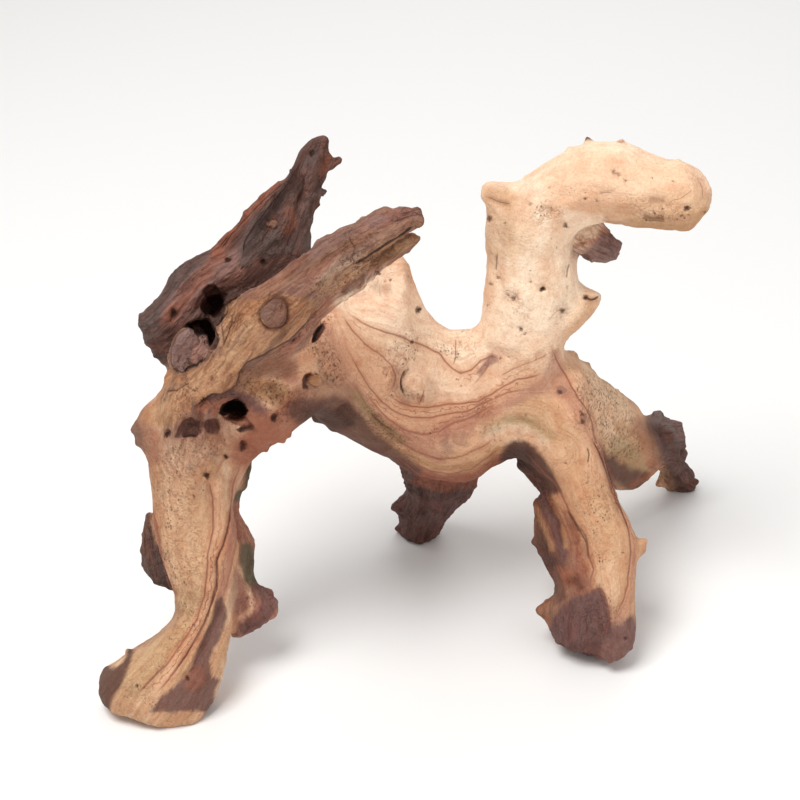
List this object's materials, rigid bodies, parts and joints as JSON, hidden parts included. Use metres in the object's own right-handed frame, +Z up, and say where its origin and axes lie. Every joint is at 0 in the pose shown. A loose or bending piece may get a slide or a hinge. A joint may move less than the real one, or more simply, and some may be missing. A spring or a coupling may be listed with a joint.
{
  "type": "piece of driftwood",
  "caption": "Weathered hardwood root crown with an arched trunk, broken horns and a hooked limb, standing on its own roots as an ornament for a tank or a shelf.",
  "frame": {"origin": "centre of the bounding box's base, on the floor that the feet stand on", "axes": "+Z up, -Y towards the side that the picture shows, +X towards the end with the hooked limb"},
  "size_m": [0.471, 0.3374, 0.3858],
  "materials": {
    "wood": "bare, sandblasted and dull"
  },
  "bodies": {
    "root": {"driftwood": "wood"}
  },
  "joints": []
}
